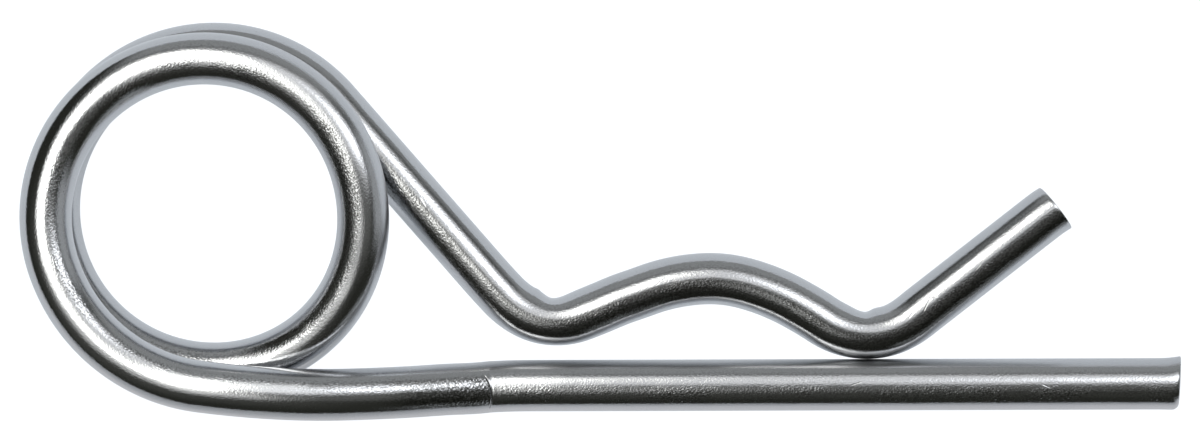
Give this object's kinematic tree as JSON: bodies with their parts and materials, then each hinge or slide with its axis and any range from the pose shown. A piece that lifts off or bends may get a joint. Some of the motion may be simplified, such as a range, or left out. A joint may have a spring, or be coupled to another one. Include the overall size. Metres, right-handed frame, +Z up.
{
  "type": "hitch r clip pin",
  "caption": "Spring cotter bent from round wire: a straight leg, an open coil eye, and a waved arm with a saddle and a flared tail, in bright zinc plating.",
  "frame": {"origin": "centre of the coil's front turn, on the surface that the clip lies on", "axes": "+X along the straight leg towards its free end, +Y from the leg towards the arm, +Z up from the surface that the clip lies flat on"},
  "size_m": [0.1007, 0.0347, 0.0091],
  "materials": {
    "zinc_plated_wire": "gloss"
  },
  "bodies": {
    "root": {"clip": "zinc_plated_wire"}
  },
  "joints": []
}
